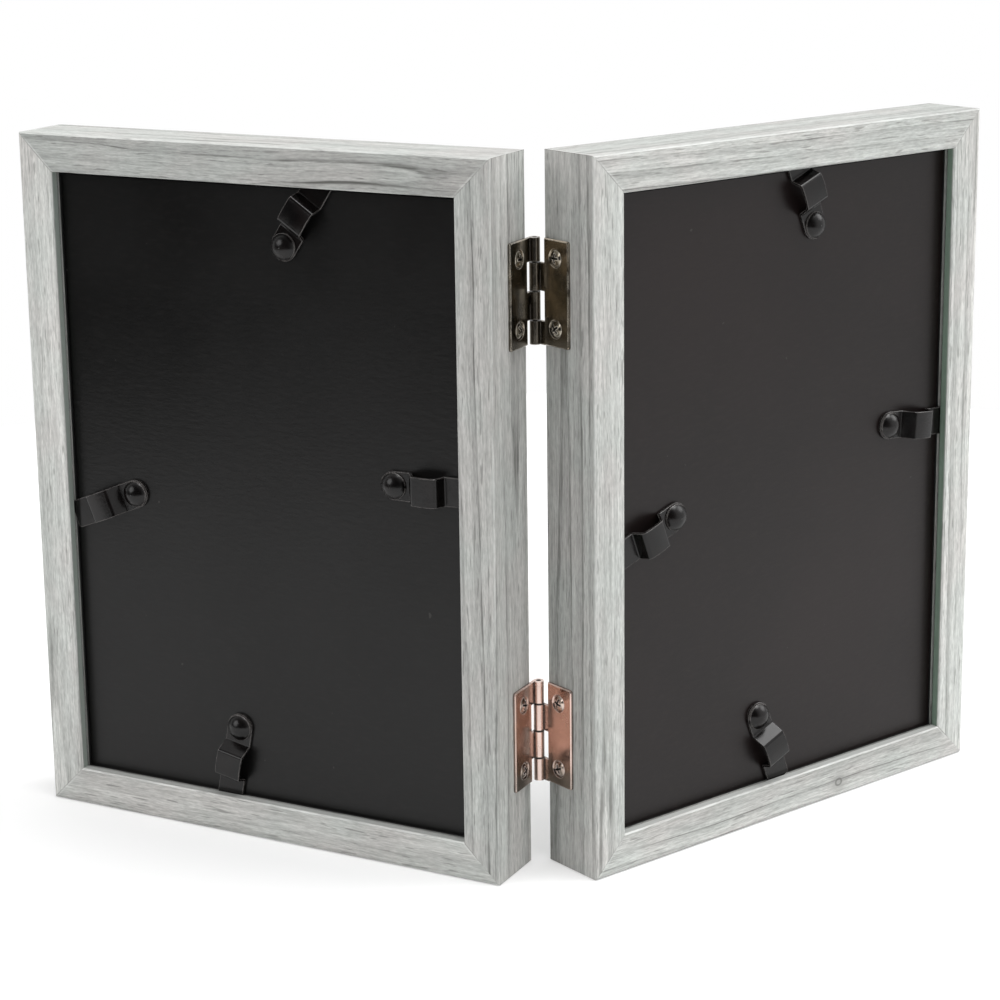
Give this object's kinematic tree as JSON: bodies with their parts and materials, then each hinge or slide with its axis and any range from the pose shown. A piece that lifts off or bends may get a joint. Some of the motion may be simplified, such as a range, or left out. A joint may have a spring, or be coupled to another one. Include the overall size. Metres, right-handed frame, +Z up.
{
  "type": "hinged double photo frame",
  "caption": "Freestanding pair of grey wood photo frames joined along one edge by butt hinges, opening like a book, with clip-held backing boards.",
  "frame": {"origin": "on the surface the pair stands on, under the middle of its bounding box", "axes": "+Z up along the hinge pins, +X across the open pair, backs and hinge spine towards -Y, photo sides towards +Y"},
  "size_m": [0.278, 0.098, 0.2],
  "materials": {
    "grey_wood": "grey-washed matt wood with streaked grain",
    "glass": "clear float glass",
    "insert_card": "plain matt card",
    "black_board": "black satin hardboard",
    "black_metal": "black satin lacquer on sheet steel",
    "dark_bronze": "polished dark bronze plating on steel",
    "rose_copper": "polished rose copper plating on steel"
  },
  "bodies": {
    "left_frame": {"left_top_rail": "grey_wood", "left_bottom_rail": "grey_wood", "left_outer_stile": "grey_wood", "left_hinge_stile": "grey_wood", "left_glass": "glass", "left_insert_card": "insert_card", "left_backing_board": "black_board", "left_top_rivet": "black_metal", "left_bottom_rivet": "black_metal", "left_hinge_rivet": "black_metal", "left_outer_rivet": "black_metal", "upper_left_leaf": "dark_bronze", "upper_left_top_screw": "dark_bronze", "upper_left_bottom_screw": "dark_bronze", "upper_hinge_pin": "dark_bronze", "lower_left_leaf": "rose_copper", "lower_left_top_screw": "rose_copper", "lower_left_bottom_screw": "rose_copper", "lower_hinge_pin": "rose_copper"},
    "right_frame": {"right_top_rail": "grey_wood", "right_bottom_rail": "grey_wood", "right_outer_stile": "grey_wood", "right_hinge_stile": "grey_wood", "right_glass": "glass", "right_insert_card": "insert_card", "right_backing_board": "black_board", "right_top_rivet": "black_metal", "right_bottom_rivet": "black_metal", "right_hinge_rivet": "black_metal", "right_outer_rivet": "black_metal", "upper_right_leaf": "dark_bronze", "upper_right_top_screw": "dark_bronze", "upper_right_bottom_screw": "dark_bronze", "lower_right_leaf": "rose_copper", "lower_right_top_screw": "rose_copper", "lower_right_bottom_screw": "rose_copper"},
    "left_top_clip": {"left_top_clip": "black_metal"},
    "left_bottom_clip": {"left_bottom_clip": "black_metal"},
    "left_hinge_clip": {"left_hinge_clip": "black_metal"},
    "left_outer_clip": {"left_outer_clip": "black_metal"},
    "right_top_clip": {"right_top_clip": "black_metal"},
    "right_bottom_clip": {"right_bottom_clip": "black_metal"},
    "right_hinge_clip": {"right_hinge_clip": "black_metal"},
    "right_outer_clip": {"right_outer_clip": "black_metal"}
  },
  "joints": [
    {"name": "spine_hinge", "type": "hinge", "parent": "left_frame", "child": "right_frame", "pos_m": [0, -0.03135, 0.1], "axis": [0, 0, 1], "range_deg": [-66, 114]},
    {"name": "left_top_clip_swivel", "type": "hinge", "parent": "left_frame", "child": "left_top_clip", "pos_m": [-0.06568, -0.01039, 0.17235], "axis": [-0.5446, -0.8387, 0], "continuous": true},
    {"name": "left_bottom_clip_swivel", "type": "hinge", "parent": "left_frame", "child": "left_bottom_clip", "pos_m": [-0.08246, 0.0005, 0.03125], "axis": [-0.5446, -0.8387, 0], "continuous": true},
    {"name": "left_hinge_clip_swivel", "type": "hinge", "parent": "left_frame", "child": "left_hinge_clip", "pos_m": [-0.03822, -0.02823, 0.109], "axis": [-0.5446, -0.8387, 0], "continuous": true},
    {"name": "left_outer_clip_swivel", "type": "hinge", "parent": "left_frame", "child": "left_outer_clip", "pos_m": [-0.10992, 0.01834, 0.097], "axis": [-0.5446, -0.8387, 0], "continuous": true},
    {"name": "right_top_clip_swivel", "type": "hinge", "parent": "right_frame", "child": "right_top_clip", "pos_m": [0.08246, 0.0005, 0.17235], "axis": [0.5446, -0.8387, 0], "continuous": true},
    {"name": "right_bottom_clip_swivel", "type": "hinge", "parent": "right_frame", "child": "right_bottom_clip", "pos_m": [0.06568, -0.01039, 0.03125], "axis": [0.5446, -0.8387, 0], "continuous": true},
    {"name": "right_hinge_clip_swivel", "type": "hinge", "parent": "right_frame", "child": "right_hinge_clip", "pos_m": [0.03822, -0.02823, 0.097], "axis": [0.5446, -0.8387, 0], "continuous": true},
    {"name": "right_outer_clip_swivel", "type": "hinge", "parent": "right_frame", "child": "right_outer_clip", "pos_m": [0.10992, 0.01834, 0.109], "axis": [0.5446, -0.8387, 0], "continuous": true}
  ]
}
